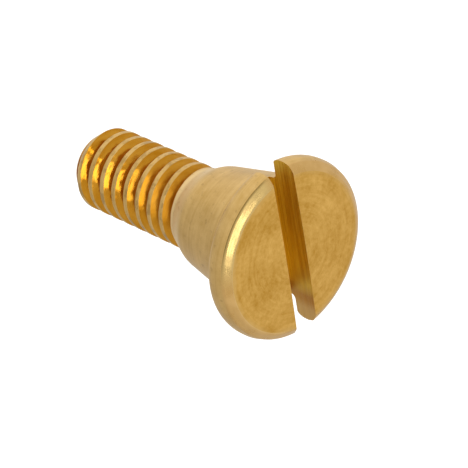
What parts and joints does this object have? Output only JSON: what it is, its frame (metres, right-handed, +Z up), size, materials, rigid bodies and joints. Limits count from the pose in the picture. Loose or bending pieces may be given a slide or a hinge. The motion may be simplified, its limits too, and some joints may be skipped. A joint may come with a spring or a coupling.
{
  "type": "slotted shoulder screw",
  "caption": "Brass machine screw with a broad slotted cheese head, a tapered shoulder under it and a short parallel thread.",
  "frame": {"origin": "centre of the bearing face, the underside of the head, on the screw's axis", "axes": "+X along the screw's axis and out of the slotted face, -X towards the threaded tip; the screwdriver slot runs along Z; +Z up"},
  "size_m": [0.0206, 0.0134, 0.0132],
  "materials": {
    "brass_turned": "bare turned brass with fine tool marks, satin crests and brighter chamfer and grooves"
  },
  "bodies": {
    "root": {"shoulder_screw": "brass_turned"}
  },
  "joints": []
}
